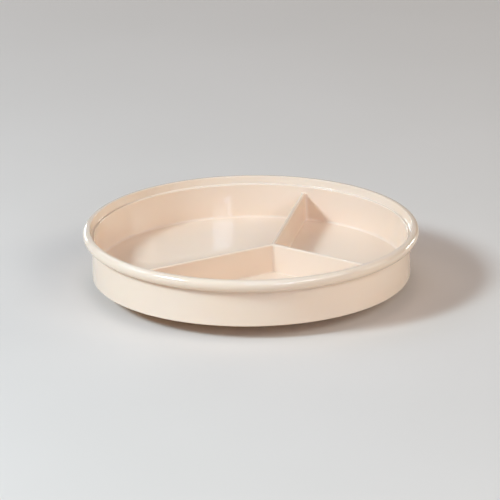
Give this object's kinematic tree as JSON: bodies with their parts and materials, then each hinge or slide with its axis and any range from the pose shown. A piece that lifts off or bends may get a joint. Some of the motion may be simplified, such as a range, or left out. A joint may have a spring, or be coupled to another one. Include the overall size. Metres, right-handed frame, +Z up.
{
  "type": "lazy susan turntable",
  "caption": "Round divided lazy susan: a deep moulded tray with a rolled rim and three compartments turns on a caged ball bearing over a smaller moulded base with rubber feet.",
  "frame": {"origin": "on the spin axis, at the table the feet stand on", "axes": "+Z up along the spin axis; -Y towards the front, as it is usually seen; +X to the right"},
  "size_m": [0.2666, 0.2666, 0.0505],
  "materials": {
    "tray_moulding": "glossy almond, moulded through",
    "base_moulding": "satin almond, moulded through",
    "cage_moulding": "natural white, low friction",
    "ball_steel": "polished",
    "zinc_plate": "bright zinc plate",
    "foot_rubber": "matt"
  },
  "bodies": {
    "base": {"base": "base_moulding", "foot_1": "foot_rubber", "foot_2": "foot_rubber", "foot_3": "foot_rubber", "foot_4": "foot_rubber", "foot_5": "foot_rubber", "foot_6": "foot_rubber"},
    "tray": {"tray": "tray_moulding", "pivot_screw": "zinc_plate", "pivot_washer": "zinc_plate"},
    "cage": {"ball_cage": "cage_moulding"},
    "ball_01": {"ball_01": "ball_steel"},
    "ball_02": {"ball_02": "ball_steel"},
    "ball_03": {"ball_03": "ball_steel"},
    "ball_04": {"ball_04": "ball_steel"},
    "ball_05": {"ball_05": "ball_steel"},
    "ball_06": {"ball_06": "ball_steel"},
    "ball_07": {"ball_07": "ball_steel"},
    "ball_08": {"ball_08": "ball_steel"},
    "ball_09": {"ball_09": "ball_steel"},
    "ball_10": {"ball_10": "ball_steel"},
    "ball_11": {"ball_11": "ball_steel"},
    "ball_12": {"ball_12": "ball_steel"}
  },
  "joints": [
    {"name": "tray_spin", "type": "hinge", "parent": "base", "child": "tray", "pos_m": [0, 0, 0], "axis": [0, 0, 1], "continuous": true},
    {"name": "cage_spin", "type": "hinge", "parent": "base", "child": "cage", "pos_m": [0, 0, 0], "axis": [0, 0, 1], "continuous": true},
    {"name": "ball_01_roll", "type": "hinge", "parent": "cage", "child": "ball_01", "pos_m": [0.072, 0, 0.01077], "axis": [1, 0, 0], "continuous": true},
    {"name": "ball_02_roll", "type": "hinge", "parent": "cage", "child": "ball_02", "pos_m": [0.06235, 0.036, 0.01077], "axis": [0.866, 0.5, 0], "continuous": true},
    {"name": "ball_03_roll", "type": "hinge", "parent": "cage", "child": "ball_03", "pos_m": [0.036, 0.06235, 0.01077], "axis": [0.5, 0.866, 0], "continuous": true},
    {"name": "ball_04_roll", "type": "hinge", "parent": "cage", "child": "ball_04", "pos_m": [0, 0.072, 0.01077], "axis": [0, 1, 0], "continuous": true},
    {"name": "ball_05_roll", "type": "hinge", "parent": "cage", "child": "ball_05", "pos_m": [-0.036, 0.06235, 0.01077], "axis": [-0.5, 0.866, 0], "continuous": true},
    {"name": "ball_06_roll", "type": "hinge", "parent": "cage", "child": "ball_06", "pos_m": [-0.06235, 0.036, 0.01077], "axis": [-0.866, 0.5, 0], "continuous": true},
    {"name": "ball_07_roll", "type": "hinge", "parent": "cage", "child": "ball_07", "pos_m": [-0.072, 0, 0.01077], "axis": [-1, 0, 0], "continuous": true},
    {"name": "ball_08_roll", "type": "hinge", "parent": "cage", "child": "ball_08", "pos_m": [-0.06235, -0.036, 0.01077], "axis": [-0.866, -0.5, 0], "continuous": true},
    {"name": "ball_09_roll", "type": "hinge", "parent": "cage", "child": "ball_09", "pos_m": [-0.036, -0.06235, 0.01077], "axis": [-0.5, -0.866, 0], "continuous": true},
    {"name": "ball_10_roll", "type": "hinge", "parent": "cage", "child": "ball_10", "pos_m": [0, -0.072, 0.01077], "axis": [0, -1, 0], "continuous": true},
    {"name": "ball_11_roll", "type": "hinge", "parent": "cage", "child": "ball_11", "pos_m": [0.036, -0.06235, 0.01077], "axis": [0.5, -0.866, 0], "continuous": true},
    {"name": "ball_12_roll", "type": "hinge", "parent": "cage", "child": "ball_12", "pos_m": [0.06235, -0.036, 0.01077], "axis": [0.866, -0.5, 0], "continuous": true}
  ],
  "couplings": [
    {"joint": "cage_spin", "follows": "tray_spin", "ratio": 0.5},
    {"joint": "ball_01_roll", "follows": "tray_spin", "ratio": -11.339},
    {"joint": "ball_02_roll", "follows": "tray_spin", "ratio": -11.339},
    {"joint": "ball_03_roll", "follows": "tray_spin", "ratio": -11.339},
    {"joint": "ball_04_roll", "follows": "tray_spin", "ratio": -11.339},
    {"joint": "ball_05_roll", "follows": "tray_spin", "ratio": -11.339},
    {"joint": "ball_06_roll", "follows": "tray_spin", "ratio": -11.339},
    {"joint": "ball_07_roll", "follows": "tray_spin", "ratio": -11.339},
    {"joint": "ball_08_roll", "follows": "tray_spin", "ratio": -11.339},
    {"joint": "ball_09_roll", "follows": "tray_spin", "ratio": -11.339},
    {"joint": "ball_10_roll", "follows": "tray_spin", "ratio": -11.339},
    {"joint": "ball_11_roll", "follows": "tray_spin", "ratio": -11.339},
    {"joint": "ball_12_roll", "follows": "tray_spin", "ratio": -11.339}
  ]
}
